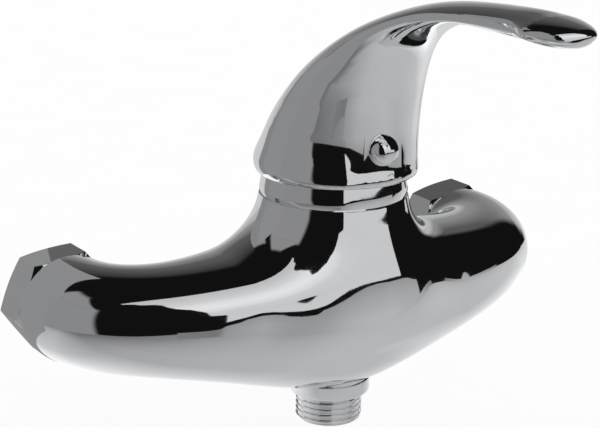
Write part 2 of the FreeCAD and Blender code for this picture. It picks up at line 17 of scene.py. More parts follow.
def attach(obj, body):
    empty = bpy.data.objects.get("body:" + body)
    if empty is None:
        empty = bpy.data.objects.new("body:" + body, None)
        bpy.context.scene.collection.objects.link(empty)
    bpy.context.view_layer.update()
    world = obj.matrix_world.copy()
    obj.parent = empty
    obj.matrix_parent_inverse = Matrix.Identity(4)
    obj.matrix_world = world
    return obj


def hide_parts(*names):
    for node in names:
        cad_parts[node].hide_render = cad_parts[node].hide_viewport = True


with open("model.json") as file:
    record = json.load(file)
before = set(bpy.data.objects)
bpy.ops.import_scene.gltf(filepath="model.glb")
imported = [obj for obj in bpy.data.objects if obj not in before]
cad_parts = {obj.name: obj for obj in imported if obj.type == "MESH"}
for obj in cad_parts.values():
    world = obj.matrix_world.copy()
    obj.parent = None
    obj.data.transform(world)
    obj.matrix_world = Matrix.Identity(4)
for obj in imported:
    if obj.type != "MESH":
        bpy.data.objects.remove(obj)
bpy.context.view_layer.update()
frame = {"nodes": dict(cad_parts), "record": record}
nodes = frame["nodes"]
MM = 0.001
BODY_OF = {node: body for body, members in frame["record"]["behaviour"]["bodies"].items()
           for node in members}
print("nodes in the frame:", len(nodes))

# %% [markdown]
# ## Colour and nodes
# Paint charts and screens give colours as sRGB hex codes, and the renderer works with linear
# light, so one function turns the first into the second. A second helper adds a shader node
# together with its settings and its links, which keeps each material short enough to read. The
# others add a noise of a given size, start a material without any nodes, and put a new object
# into the scene.

# %% Five helpers


def linear(code):
    """Linear RGBA of an sRGB colour written as RRGGBB."""
    parts = [int(code[i:i + 2], 16) / 255 for i in (0, 2, 4)]
    return [c / 12.92 if c <= 0.04045 else ((c + 0.055) / 1.055) ** 2.4 for c in parts] + [1.0]


def add(tree, kind, inputs=None, **settings):
    """Adds a node of that kind. A number or colour in inputs is set on the socket, and an output
    socket is linked to it. A socket is named by its name, or by its place where names repeat."""
    made = tree.nodes.new(kind)
    for name, value in settings.items():
        setattr(made, name, value)
    for name, value in (inputs or {}).items():
        socket = made.inputs[name]
        if isinstance(value, bpy.types.NodeSocket):
            tree.links.new(value, socket)
        else:
            socket.default_value = value
    return made


def noise(tree, place, size_mm, detail):
    """Soft noise between 0 and 1, in waves about size_mm long and in finer layers of them."""
    return add(tree, "ShaderNodeTexNoise", {
        "Vector": place, "Scale": 1 / (size_mm * MM), "Detail": detail}).outputs["Fac"]


def bare_material(name):
    """A new material and its node tree, which holds no nodes yet."""
    material = bpy.data.materials.new(name)
    material.use_nodes = True
    material.node_tree.nodes.clear()
    return material, material.node_tree


def placed(name, data):
    """A new object that shows the data, linked into the scene."""
    made = bpy.data.objects.new(name, data)
    bpy.context.scene.collection.objects.link(made)
    return made


print("linear mid-grey:", [round(c, 3) for c in linear("808080")])

# %% [markdown]
# ## The chrome
# Decorative chrome is a hard, bluish-white mirror plated over polished nickel and brass. Its
# colour hardly varies; what the eye reads as real is that the mirror isn't perfect. The casting
# keeps long, very shallow waves from the polishing belt, and a faint haze of hair-fine scratches
# widens the highlights here and there. The waves are a noise 14 mm long on castings and 6 mm long
# on turned pieces. The haze is one of 0.9 mm in clouds of 9 mm: a real scratch is far finer, and
# would not show at this distance.

# %% Polished chrome plate
CLOUD_MM, SCRATCH_MM = 9, 0.9
# The clouds times the scratches: least haze below the first value and most above the second.
HAZE_FROM, HAZE_TO = 0.12, 0.45


def chrome_plate(name, tone, haze, wave_mm, wave_height_mm):
    """Mirror metal: tone is its two close colours, haze its lowest and highest roughness."""
    material, tree = bare_material(name)
    place = add(tree, "ShaderNodeTexCoord").outputs["Object"]
    cloud = noise(tree, place, CLOUD_MM, 2.0)
    scratch = noise(tree, place, SCRATCH_MM, 5.0)
    wave = noise(tree, place, wave_mm, 1.0)
    colour = add(tree, "ShaderNodeMix", {0: cloud, 6: linear(tone[0]), 7: linear(tone[1])},
                 data_type="RGBA")
    both = add(tree, "ShaderNodeMath", {0: cloud, 1: scratch}, operation="MULTIPLY")
    rough = add(tree, "ShaderNodeMapRange", {
        "Value": both.outputs[0], "From Min": HAZE_FROM, "From Max": HAZE_TO,
        "To Min": haze[0], "To Max": haze[1]})
    bump = add(tree, "ShaderNodeBump", {
        "Height": wave, "Strength": 1.0, "Distance": wave_height_mm * MM})
    shader = add(tree, "ShaderNodeBsdfPrincipled", {
        "Base Color": colour.outputs[2], "Metallic": 1.0, "Roughness": rough.outputs[0],
        "Normal": bump.outputs[0]})
    add(tree, "ShaderNodeOutputMaterial", {"Surface": shader.outputs[0]})
    return material


cast_chrome = chrome_plate("polished_chrome_on_cast_brass", ("ECEDEF", "F1F2F4"),
                           haze=(0.025, 0.06), wave_mm=14, wave_height_mm=0.006)
turned_chrome = chrome_plate("polished_chrome_on_turned_brass", ("E9EAEC", "F0F1F3"),
                             haze=(0.03, 0.07), wave_mm=6, wave_height_mm=0.002)
print("chrome finishes:", cast_chrome.name, turned_chrome.name)

# %% [markdown]
# ## The pieces inside
# Under the chrome are unplated brass, moulded plastics, rubber, stainless steel and ceramic. They
# show when the lever lifts, or when somebody takes the part apart. All of them are made alike:
# two close tones in soft patches, and a fine texture. On turned and drawn pieces and in the
# glass-filled plastic it is pulled out along the direction of the work. The finest lines are
# drawn about three times coarser than a real tool mark, so that they show at all.

# %% One recipe for the hidden finishes
# The marks' noise: the lowest roughness below the first value and the highest above the second.
MARKS_FROM, MARKS_TO = 0.3, 0.7
EVEN = (1.0, 1.0, 1.0)


def worked_surface(name, tones, metallic, rough, patch_mm, mark_mm, mark_height_mm, stretch,
                   settings=None):
    """Patches of two tones, with marks mark_mm wide. stretch has a number for each axis: the
    smaller it is, the longer the marks are along that axis."""
    material, tree = bare_material(name)
    place = add(tree, "ShaderNodeTexCoord").outputs["Object"]
    patch = noise(tree, place, patch_mm, 3.0)
    pulled = add(tree, "ShaderNodeMapping", {"Vector": place, "Scale": stretch}).outputs[0]
    mark = noise(tree, pulled, mark_mm, 4.0)
    colour = add(tree, "ShaderNodeMix", {0: patch, 6: linear(tones[0]), 7: linear(tones[1])},
                 data_type="RGBA")
    roughness = add(tree, "ShaderNodeMapRange", {
        "Value": mark, "From Min": MARKS_FROM, "From Max": MARKS_TO,
        "To Min": rough[0], "To Max": rough[1]})
    bump = add(tree, "ShaderNodeBump", {
        "Height": mark, "Strength": 1.0, "Distance": mark_height_mm * MM})
    shader = add(tree, "ShaderNodeBsdfPrincipled", {
        "Base Color": colour.outputs[2], "Metallic": metallic, "Roughness": roughness.outputs[0],
        "Normal": bump.outputs[0], **(settings or {})})
    add(tree, "ShaderNodeOutputMaterial", {"Surface": shader.outputs[0]})
    return material


# Turned about the upright axis: the marks run round it, so they are short in height only.
turned_brass = worked_surface("turned_yellow_brass", ("B8923F", "D3B062"), 1.0, (0.22, 0.38),
                              7, 0.3, 0.006, (0.06, 0.06, 1.0))
# Turned about an inlet axis: short along the wall-ward axis only.
bush_brass = worked_surface("turned_brass_bush", ("B8923F", "D3B062"), 1.0, (0.22, 0.38),
                            7, 0.3, 0.006, (0.06, 1.0, 0.06))
# Drawn wire and rod: the marks are long from left to right, as the pivot pin lies.
stainless = worked_surface("drawn_stainless_steel", ("9C9DA0", "B7B8BB"), 1.0, (0.18, 0.3),
                           5, 0.25, 0.003, (0.08, 1.0, 1.0))
# Moulded pieces are alike in every direction. Some light gets half a millimetre into the acetal.
nitrile = worked_surface("moulded_nitrile_rubber", ("17171A", "232326"), 0.0, (0.55, 0.75),
                         4, 0.35, 0.012, EVEN, {"Specular IOR Level": 0.35})
acetal = worked_surface("moulded_white_acetal", ("E2E1DA", "EDECE6"), 0.0, (0.32, 0.45),
                        8, 0.5, 0.006, EVEN, {"Subsurface Weight": 0.15,
                                              "Subsurface Scale": 0.5 * MM})
# Glass fibres in the resin leave flow marks that are longer upward.
grey_resin = worked_surface("glass_filled_grey_resin", ("55585D", "666A70"), 0.0, (0.4, 0.6),
                            6, 0.4, 0.01, (1.0, 1.0, 0.3))
# Lapped ceramic is smooth and shiny, and its fine grain has no direction.
alumina = worked_surface("lapped_alumina_ceramic", ("EBE7DD", "F4F1E9"), 0.0, (0.08, 0.16),
                         9, 0.3, 0.001, EVEN, {"IOR": 1.76})
HIDDEN_FINISH = {
    "hot_inlet_bush": bush_brass, "cold_inlet_bush": bush_brass, "cartridge_nut": turned_brass,
    "lever_stem": turned_brass, "hot_sealing_washer": nitrile, "cold_sealing_washer": nitrile,
    "outlet_o_ring": nitrile, "rotor_o_ring": nitrile, "port_seals": nitrile,
    "check_valve_housing": acetal, "check_valve_poppet": acetal, "rotor": acetal,
    "check_valve_spring": stainless, "stem_pivot_pin": stainless, "handle_set_screw": stainless,
    "cartridge_base": grey_resin, "disc_carrier": grey_resin, "cartridge_housing": grey_resin,
    "fixed_disc": alumina, "moving_disc": alumina,
}
for node, finish in HIDDEN_FINISH.items():
    slots = nodes[node].data.materials
    slots.clear()
    slots.append(finish)
print("hidden pieces finished:", len(HIDDEN_FINISH))

# %% [markdown]
# ## The body's form as a formula
# The body was cast as one bent tube that swells under a conical column. Its surface can be written
# down: walk along the arm's bent centre line, and the wall lies at a distance that depends on the
# angle round it; a smooth minimum then blends in the column. A mirror shows every wrinkle of a
# mesh, so the mesh's shading is taken from this formula and not from its triangles.

# %% Distance outside the cast body
# Millimetres. The arm: where its centre line starts and ends, how its bend is spread, how far its
# middle rises, control values of its section from mouth to middle, and how square that gets.
INLET_X, MOUTH_Y, MIDDLE_Y = 75.0, -13.4, -43.9
BEND_START, BEND_END = 1.52, 3.6
ARM_RISE = 1.8
ARM_DEPTH = (16.25, 19.7, 14.8, 27.2, 27.2)
ARM_ABOVE = (16.25, 17.4, 12.0, 21.0, 21.0)
ARM_BELOW = (16.25, 16.7, 12.7, 30.9, 30.9)
ARM_SQUARENESS = 0.2
# The column is a cone that gets wider downward, from its top to where it ends inside the arms.
COLUMN_Y, COLUMN_TOP_R, COLUMN_TOP_Z, COLUMN_END_Z = -45.3, 22.9, 33.7, -5.0
COLUMN_FLARE = math.radians(12)
BLEND_WIDTH = 12.5
HALVINGS = 40


def smooth_minimum(a, b, width):
    """The smaller of a and b, lowered by a parabola where they differ by less than width."""
    over = np.maximum(width - np.abs(a - b), 0) / width
    return np.minimum(a, b) - over * over * width / 4


def eased(values, t):
    """Bernstein polynomial that the control values draw, from t = 0 to t = 1."""
    last = len(values) - 1
    return sum(math.comb(last, i) * v * t ** i * (1 - t) ** (last - i)
               for i, v in enumerate(values))


def arm_centre_line(count=1600):
    """t, x, y and the two parts of the direction of the arm's centre line, mouth to middle."""
    t = np.linspace(0, 1, count + 1)
    turned = np.pi / 2 * (1 - (1 - t ** BEND_START) ** BEND_END)
    across = np.concatenate([[0], np.cumsum((np.sin(turned[1:]) + np.sin(turned[:-1])) / 2)])
    ahead = np.concatenate([[0], np.cumsum((np.cos(turned[1:]) + np.cos(turned[:-1])) / 2)])
    wide, deep = INLET_X / across[-1], (MOUTH_Y - MIDDLE_Y) / ahead[-1]
    way = np.stack([-np.sin(turned) * wide, -np.cos(turned) * deep])
    way = way / np.hypot(way[0], way[1])
    return t, INLET_X - wide * across, MOUTH_Y - deep * ahead, way[0], way[1]


CENTRE_LINE = arm_centre_line()


def along_and_beside(here, x, y):
    """How far points lie ahead of the centre line's point at t = here, and to its side."""
    t = CENTRE_LINE[0]
    line_x, line_y, way_x, way_y = (np.interp(here, t, values) for values in CENTRE_LINE[1:])
    off_x, off_y = x - line_x, y - line_y
    return off_x * way_x + off_y * way_y, off_y * way_x - off_x * way_y


def body_distance(p):
    """Distance of points (millimetres) outside the casting: each point finds its section of the
    arm by halving, then a superellipse gives the wall and a cone gives the column."""
    x, y, z = np.abs(p[:, 0]), p[:, 1], p[:, 2]
    near, far = np.zeros(len(p)), np.ones(len(p))
    for _ in range(HALVINGS):
        here = (near + far) / 2
        along, side = along_and_beside(here, x, y)
        near, far = np.where(along > 0, here, near), np.where(along > 0, far, here)
    ease = here * here * (3 - 2 * here)
    up = z - ARM_RISE * ease
    angle = np.arctan2(up, side)
    above, below = eased(ARM_ABOVE, here), eased(ARM_BELOW, here)
    height = below + (above - below) * (0.5 + 0.5 * np.sin(angle))
    power = 2 + ARM_SQUARENESS * ease
    wall = ((np.abs(np.cos(angle)) / eased(ARM_DEPTH, here)) ** power
            + (np.abs(np.sin(angle)) / height) ** power) ** (-1 / power)
    column_r = COLUMN_TOP_R + math.tan(COLUMN_FLARE) * (COLUMN_TOP_Z - z)
    cone = (np.hypot(x, y - COLUMN_Y) - column_r) * math.cos(COLUMN_FLARE)
    column = -smooth_minimum(-cone, z - COLUMN_END_Z, BLEND_WIDTH)
    return smooth_minimum(np.hypot(side, up) - wall, column, BLEND_WIDTH)


print("distance at the column's front:", body_distance(np.array([[0.0, -68.2, 33.7]])).round(3))

# %% [markdown]
# ## The lever's form as a formula
# The lever is a row of ribs: flat ovals that start as the skirt's circle and end as the slim tip.
# Two creases run along each side, where the oval's slope jumps. A point's rib is the one whose
# plane holds it, and past the last rib that rib is drawn in, by a power of the cosine, to a blunt
# rounded nose. The skirt's foot turns out in a small lip, which the photograph shows only by what
# it mirrors. The solids have the foot straight.

# %% Distance outside the cast lever
# Each rib: back point and front point (forward, up), half width, angles of the two creases, and
# how much of the crease shows. Millimetres and degrees.
LEVER_RIBS = np.array([
    (-24.4, 44.5, 25.8, 44.5, 25.1, 62.0, 131.0, 0.0),
    (-16.0, 58.0, 25.8, 57.0, 23.7, 75.0, 126.0, 0.3),
    (-1.2, 74.3, 30.0, 73.4, 20.3, 78.0, 124.7, 0.5),
    (20.5, 89.3, 41.0, 87.4, 14.4, 79.5, 126.0, 0.7),
    (49.8, 100.0, 61.8, 95.7, 10.0, 77.4, 115.0, 0.9),
    (83.0, 103.9, 87.0, 96.0, 8.0, 79.6, 107.0, 1.0),
    (97.6, 103.8, 93.0, 96.3, 9.8, 97.9, 118.0, 1.0)])
# How much the creases dent the oval above them, between them and below them.
DENTS = (0.02, 0.05, 0.05)
# The tip: its length, how far it points down, and how it narrows in width and in thickness.
TIP_LENGTH, TIP_DIP, TIP_ROUNDNESS = 13.2, 0.09, (0.87, 0.56)
TIP_HALVINGS = 44
# Places nearer to the row's ends than this are before the first rib or past the last one.
BEFORE_FIRST, PAST_LAST = 0.001, len(LEVER_RIBS) - 1.001
FAR_OUTSIDE = 99.0


def rib_at(place):
    """Catmull-Rom blend of the listed ribs; place 0 is the first one and 6 the last."""
    padded = np.vstack([2 * LEVER_RIBS[0] - LEVER_RIBS[1], LEVER_RIBS,
                        2 * LEVER_RIBS[-1] - LEVER_RIBS[-2]])
    i = np.clip(place.astype(int), 0, len(LEVER_RIBS) - 2)
    f = (place - i)[:, None]
    return (padded[i] * (-0.5 * f + f ** 2 - 0.5 * f ** 3)
            + padded[i + 1] * (1 - 2.5 * f ** 2 + 1.5 * f ** 3)
            + padded[i + 2] * (0.5 * f + 2 * f ** 2 - 1.5 * f ** 3)
            + padded[i + 3] * (0.5 * f ** 3 - 0.5 * f ** 2))


def oval_size(angle, rib):
    """Size of a rib's oval at an angle from its back: 1, dented between the creases."""
    first, second = np.radians(rib[:, 5]), np.radians(rib[:, 6])
    top = DENTS[0] * np.cos(np.pi * angle / (2 * first))
    side = DENTS[1] * np.sin(np.pi * (angle - first) / (second - first))
    face = DENTS[2] * np.cos(np.pi * (np.pi - angle) / (2 * (np.pi - second)))
    return 1 - rib[:, 7] * np.where(angle < first, top, np.where(angle < second, side, face))


def tip_growth(along, across, ahead, rib):
    """How far the tip would grow about its middle to reach each point; 1 is on its skin."""
    small, large = np.full(len(along), 0.01), np.full(len(along), 3.0)
    for _ in range(TIP_HALVINGS):
        grown = (small + large) / 2
        narrow = np.sqrt(np.maximum(1 - (ahead / grown) ** 2, 1e-9))
        wide, thick = across / narrow ** TIP_ROUNDNESS[0], along / narrow ** TIP_ROUNDNESS[1]
        held = np.hypot(wide, thick) / oval_size(np.arctan2(wide, -thick), rib) < grown
        small, large = np.where(held, small, grown), np.where(held, grown, large)
    return large


# The skirt's middle is a little ahead of the column's. Its lip is the sum of three curls. Each row:
# the height it starts at, how far down it grows, and what a millimetre and its square add.
SKIRT_Y = COLUMN_Y - 0.7
LIP_CURLS = ((47.2, 2.0, 0.0, 0.035), (45.2, 2.2, 0.14, 0.012), (44.5, 2.4, 0.0, 0.066))
# Corners inside this radius stay, and those farther out than the fade's width move fully.
LIP_INSIDE_R, LIP_FADE = 23.5, 1.1


def lip(p):
    """How far the skirt's foot turns out at each point's height, most of all at its front, as in
    the photograph, where it mirrors the softbox. 0 above the lip. Millimetres."""
    forward = SKIRT_Y - p[:, 1]
    front = np.maximum(forward / np.maximum(np.hypot(p[:, 0], forward), 0.001), 0)
    turned_out = 0.0
    for start, reach, by_mm, by_square in LIP_CURLS:
        under = np.clip(start - p[:, 2], 0, reach)
        turned_out = turned_out + by_mm * under + by_square * under ** 2
    return front * turned_out


def with_lip(corners):
    """Moves the corners of the skirt's outer skin out by the lip's size. Millimetres."""
    away = corners - (0.0, SKIRT_Y, 0.0)
    away[:, 2] = 0.0
    radius = np.hypot(away[:, 0], away[:, 1])[:, None]
    outer = np.clip((radius - LIP_INSIDE_R) / LIP_FADE, 0, 1)
    return corners + away / np.maximum(radius, 0.001) * outer * lip(corners)[:, None]


def lever_distance(p):
    """Distance of points (millimetres) outside the lever; far above 0 below the skirt's rim."""
    x, forward, z = np.abs(p[:, 0]), COLUMN_Y - p[:, 1], p[:, 2]
    near, far = np.zeros(len(p)), np.full(len(p), len(LEVER_RIBS) - 1.0)
    for _ in range(HALVINGS):
        here = (near + far) / 2
        rib = rib_at(here)
        beyond = ((rib[:, 2] - rib[:, 0]) * (z - rib[:, 1])
                  - (rib[:, 3] - rib[:, 1]) * (forward - rib[:, 0])) > 0
        near, far = np.where(beyond, here, near), np.where(beyond, far, here)
    half_f, half_z = (rib[:, 2] - rib[:, 0]) / 2, (rib[:, 3] - rib[:, 1]) / 2
    f, h = forward - (rib[:, 0] + rib[:, 2]) / 2, z - (rib[:, 1] + rib[:, 3]) / 2
    tip = here > PAST_LAST
    spread = np.where(tip, (half_f * -TIP_DIP - half_z) * TIP_LENGTH, 1.0)
    along = np.where(tip, (f * -TIP_DIP - h) * TIP_LENGTH / spread,
                     (f * half_f + h * half_z) / (half_f ** 2 + half_z ** 2))
    across = x / rib[:, 4]
    size = np.hypot(along, across) / oval_size(np.arctan2(across, -along), rib)
    ahead = (half_f * h - half_z * f) / spread
    size[tip] = tip_growth(along[tip], across[tip], ahead[tip], rib[tip])
    return np.where(here < BEFORE_FIRST, FAR_OUTSIDE, (size - 1) * rib[:, 4] - lip(p))


print("distance at the skirt's front:", lever_distance(np.array([[0.0, -71.1, 50.0]])).round(3))

# %% [markdown]
# ## Plated castings
# A solid arrives as loose triangles, each with its own corners, so a mirror finish would show every
# facet. A copy whose corners are welded can be shaded smoothly, and edges that turn by more than
# an angle stay crisp. Where a formula gives the form, each corner takes its normal from it. Real
# plating also rounds every edge a little: on the machined nuts a bevel of a quarter of a
# millimetre gives the thin bright line that the eye expects there.

# %% Weld, smooth and bevel
WELD = 0.002 * MM
# A triangle lies on a formula's surface if its corners are this near to it and if its own slope
# turns from the formula's by less than this angle.
ON_SURFACE_MM, SAME_SLOPE_DEGREES = 0.3, 25
# How far a corner is moved inward before its slope is taken, and over what step that is done.
INWARD, SLOPE_STEP_MM = 0.01, 0.001
BEVEL_SEGMENTS = 2


def unit(vectors):
    """The vectors at length 1. One that has no length stays as it is."""
    return vectors / np.maximum(np.linalg.norm(vectors, axis=1, keepdims=True), 1e-12)


def normals_by_formula(mesh, distance):
    """Sets corner normals to the slope of distance() on every triangle that lies on its surface.

    Each corner is moved a hundredth of the way to its triangle's centre first, so that at a
    crease it takes the slope of its own side."""
    corners = np.empty(len(mesh.vertices) * 3)
    mesh.vertices.foreach_get("co", corners)
    faces = np.empty(len(mesh.loops), int)
    mesh.loops.foreach_get("vertex_index", faces)
    triangles = corners.reshape(-1, 3)[faces].reshape(-1, 3, 3) / MM
    flat = unit(np.cross(triangles[:, 1] - triangles[:, 0], triangles[:, 2] - triangles[:, 0]))
    centres = triangles.mean(axis=1, keepdims=True)
    points = (triangles * (1 - INWARD) + centres * INWARD).reshape(-1, 3)
    off_surface = np.abs(distance(triangles.reshape(-1, 3))).reshape(-1, 3).max(axis=1)
    slope = unit(np.stack([distance(points + offset) - distance(points - offset)
                           for offset in np.eye(3) * SLOPE_STEP_MM], axis=1)).reshape(-1, 3, 3)
    alike = (slope * flat[:, None]).sum(axis=2).min(axis=1)
    used = (off_surface < ON_SURFACE_MM) & (alike > math.cos(math.radians(SAME_SLOPE_DEGREES)))
    slope[~used] = 0.0
    mesh.normals_split_custom_set(slope.reshape(-1, 3).tolist())
    print(mesh.name, "triangles shaded by formula:", int(used.sum()), "of", len(used))


def welded_form(node):
    """The solid's corners and faces, with corners that lie together made into one."""
    welded = bmesh.new()
    welded.from_mesh(nodes[node].data)
    bmesh.ops.remove_doubles(welded, verts=welded.verts, dist=WELD)
    bmesh.ops.dissolve_degenerate(welded, edges=welded.edges, dist=WELD)
    corners = np.array([v.co[:] for v in welded.verts])
    welded.verts.index_update()
    faces = [[v.index for v in face.verts] for face in welded.faces]
    welded.free()
    return corners, faces


def plated_copy(node, name, finish, crease_degrees, bevel_mm=0.0, distance=None,
                reshape=None):
    """A welded, smoothly shaded copy of a solid's mesh, which is shown in its place. distance()
    gives the corners' normals, and reshape() moves the corners."""
    corners, faces = welded_form(node)
    if reshape:
        corners = reshape(corners / MM) * MM
    mesh = bpy.data.meshes.new(name)
    mesh.from_pydata(corners.tolist(), [], faces)
    mesh.shade_smooth()
    mesh.set_sharp_from_angle(angle=math.radians(crease_degrees))
    if distance:
        normals_by_formula(mesh, distance)
    mesh.materials.append(finish)
    piece = placed(name, mesh)
    if bevel_mm:
        rounding = piece.modifiers.new("plated_edge", "BEVEL")
        rounding.width = bevel_mm * MM
        rounding.segments = BEVEL_SEGMENTS
        rounding.limit_method = "ANGLE"
        rounding.angle_limit = math.radians(crease_degrees)
    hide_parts(node)
    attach(piece, BODY_OF[node])
    print(name, "corners", len(corners), "faces", len(faces))
    return piece


print("castings are welded where corners are nearer than", WELD / MM, "mm")

# %% [markdown]
# ## The ring's crown
# In the solids the skin of the ring below the lever is straight. In the photograph its reflection
# bends as a slight crown makes it bend: a low bulge at the foot and a slope inward above it. Both
# are less than a millimetre, and moving the corners draws them.

# %% Crown the ring and plate everything that is seen
RING_R, RING_FOOT_Z, RING_HEIGHT = 22.5, 33.7, 7.0
# The bulge takes the lowest quarter of the height, and the slope is for one height of the ring.
BULGE_SHARE, BULGE_MM, INWARD_SLOPE_MM = 0.25, 0.35, 1.2
# Corners deeper than this under the skin stay, and so do those higher than this over the top.
SKIN_MM, TOP_SPARE_MM = 0.6, 0.05


def with_crown(corners):
    """Gives the ring's outer skin its bulge and its slope inward. Millimetres."""
    away = corners - (0.0, COLUMN_Y, 0.0)
    away[:, 2] = 0.0
    radius = np.hypot(away[:, 0], away[:, 1])
    part = np.clip((corners[:, 2] - RING_FOOT_Z) / RING_HEIGHT, 0, 1)
    foot = 1 - np.clip(part / BULGE_SHARE, 0, 1)
    sloped = INWARD_SLOPE_MM * np.clip(part - BULGE_SHARE, 0, 1)
    wanted = RING_R + BULGE_MM * (1 - foot ** 2) - sloped
    below_top = corners[:, 2] < RING_FOOT_Z + RING_HEIGHT + TOP_SPARE_MM
    grown = np.where((radius > RING_R - SKIN_MM) & below_top, wanted - radius, 0)
    return corners + away / radius[:, None] * grown[:, None]


plated_copy("mixer_body", "cast_body", cast_chrome, 24, distance=body_distance)
plated_copy("lever_handle", "cast_lever", cast_chrome, 22, distance=lever_distance,
            reshape=with_lip)
plated_copy("dome_ring", "column_ring", turned_chrome, 35, reshape=with_crown)
plated_copy("index_button", "domed_button", turned_chrome, 35)
plated_copy("hot_union_nut", "left_union_nut", turned_chrome, 20, bevel_mm=0.25)
plated_copy("cold_union_nut", "right_union_nut", turned_chrome, 20, bevel_mm=0.25)

# %% [markdown]
# ## The outlet and its thread
# A hose nut runs on a G1/2 thread: 20.96 mm across and 1.814 mm from crest to crest. A lathe cuts
# it as a groove that climbs by one pitch in each turn. Here the whole nipple is one closed
# surface of revolution, and on the threaded length its radius also depends on the angle, so the
# groove really is a helix. The crests and roots are rounded as the 55 degree form asks.

# %% A lathe


def lathe(name, along, radius, turns_around, axis_y):
    """Surface (radius(i, angle), angle, along(i)): a profile of i points carried round an axis.

    along has one height for each profile point, and radius is an array of profile points by
    angles. The first and last profile points are joined, so the surface is a closed ring."""
    angle = np.linspace(0, 2 * np.pi, turns_around, endpoint=False)
    x = radius * np.cos(angle)
    y = radius * np.sin(angle) + axis_y
    z = np.repeat(along[:, None], turns_around, axis=1)
    corners = np.stack([x, y, z], axis=-1).reshape(-1, 3)
    rows = len(along)
    i, j = np.meshgrid(np.arange(rows), np.arange(turns_around), indexing="ij")
    down, beside = (i + 1) % rows, (j + 1) % turns_around
    quads = np.stack([i * turns_around + j, i * turns_around + beside,
                      down * turns_around + beside, down * turns_around + j], axis=-1)
    mesh = bpy.data.meshes.new(name)
    mesh.from_pydata(corners.tolist(), [], quads.reshape(-1, 4).tolist())
    mesh.update()
    return mesh


print("a lathe for profiles whose radius may depend on the angle")

# %% [markdown]
# ## The nipple's profile
# The profile runs down the bore, round the hose's end, up along the thread, round the boss's
# shoulder and up the shank, which has a groove for its seal. The sizes are in millimetres.

# %% Lathe the nipple
AROUND, THREAD_ROWS = 144, 150
THREAD_R, PITCH, THREAD_DEPTH = 10.48, 1.814, 1.16
# Heights: the thread's end and top, the boss's top and seat, the seal's groove, the shank's top.
THREAD_END, THREAD_TOP, BOSS_TOP, SEAT_Z = -40.2, -31.4, -26.2, -23.4
GROOVE_LOW, GROOVE_HIGH, SHANK_TOP = -21.4, -19.6, -14.0
# Radii, and what the bevels, the chamfer, the groove and the boss's edge and step take off them.
BORE_R, SHANK_R, BOSS_R = 7.5, 9.6, 12.9
BORE_BEVEL, THREAD_CHAMFER, GROOVE_DEPTH = 0.5, 0.9, 1.15
BOSS_EDGE, BOSS_STEP, BOSS_RISE = 0.25, 0.6, 0.2
SHOULDER_R, SHOULDER_DEGREES, SHOULDER_ROWS = 1.9, 80, 7
# The thread fades out below its top, and its last row keeps a little clear of the shoulder.
RUN_OUT, FADE, CLEAR = 0.35, 0.5, 0.05
NIPPLE_CREASE_DEGREES = 38


def threaded_radius(height, angle):
    """Crest radius minus a rounded groove that climbs one pitch per turn, in millimetres."""
    phase = 2 * np.pi * (height / PITCH - angle / (2 * np.pi))
    groove = 0.5 - 0.5 * np.cos(phase)
    groove = groove * groove * (3 - 2 * groove)
    cut = np.clip((THREAD_TOP - RUN_OUT - height) / FADE, 0, 1)
    chamfer = np.clip(THREAD_CHAMFER - (height - THREAD_END), 0, 1)
    return np.minimum(THREAD_R - THREAD_DEPTH * groove * cut, THREAD_R - chamfer)


def unthreaded(points):
    """Radii of profile points that are the same all round."""
    return np.repeat(np.array([point[0] for point in points])[:, None], AROUND, axis=1)


shoulder_turn = np.radians(np.linspace(0, SHOULDER_DEGREES, SHOULDER_ROWS))
shoulder = [(BOSS_R - SHOULDER_R + SHOULDER_R * math.sin(a),
             THREAD_TOP + SHOULDER_R - SHOULDER_R * math.cos(a)) for a in shoulder_turn]
below = [(BORE_R, SHANK_TOP), (BORE_R, THREAD_END + BORE_BEVEL), (BORE_R + BORE_BEVEL, THREAD_END)]
above = [(THREAD_R, THREAD_TOP)] + shoulder + [
    (BOSS_R, BOSS_TOP - BOSS_EDGE), (BOSS_R - BOSS_EDGE, BOSS_TOP),
    (BOSS_R - BOSS_STEP, BOSS_TOP + BOSS_RISE), (BOSS_R - BOSS_STEP, SEAT_Z),
    (SHANK_R, SEAT_Z), (SHANK_R, GROOVE_LOW), (SHANK_R - GROOVE_DEPTH, GROOVE_LOW),
    (SHANK_R - GROOVE_DEPTH, GROOVE_HIGH), (SHANK_R, GROOVE_HIGH), (SHANK_R, SHANK_TOP)]
thread_heights = np.linspace(THREAD_END, THREAD_TOP - CLEAR, THREAD_ROWS)
angles = np.linspace(0, 2 * np.pi, AROUND, endpoint=False)
radii = np.concatenate([
    unthreaded(below), threaded_radius(thread_heights[:, None], angles[None, :]),
    unthreaded(above)])
heights = np.concatenate([[p[1] for p in below], thread_heights, [p[1] for p in above]])
nipple_mesh = lathe("threaded_outlet", heights * MM, radii * MM, AROUND, COLUMN_Y * MM)
nipple_mesh.shade_smooth()
nipple_mesh.set_sharp_from_angle(angle=math.radians(NIPPLE_CREASE_DEGREES))
nipple_mesh.materials.append(turned_chrome)
nipple = placed("threaded_outlet", nipple_mesh)
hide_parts("shower_outlet_nipple")
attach(nipple, "fixed_body")
print("outlet rows", len(heights), "thread turns", round((THREAD_TOP - THREAD_END) / PITCH, 2))

# %% [markdown]
# ## The studio that the chrome mirrors
# Chrome has almost no colour of its own: its picture is the room around it. Product photographers
# therefore build the room out of white boxes and black cards. Here the world is the far part of
# that room, drawn by direction: each card is a patch between two compass angles and two heights,
# with soft edges. The room is dark, with grey cards on the left, and behind the mixer on its
# right a wall that is bright at its foot and dark above. Only mirror rays see the cards. The
# camera sees plain white, and matt surfaces are lit by an even white light, so every colour
# renders as it is written.

# %% Cards by direction


def times(tree, a, b):
    """The product of two values."""
    return add(tree, "ShaderNodeMath", {0: a, 1: b}, operation="MULTIPLY").outputs[0]


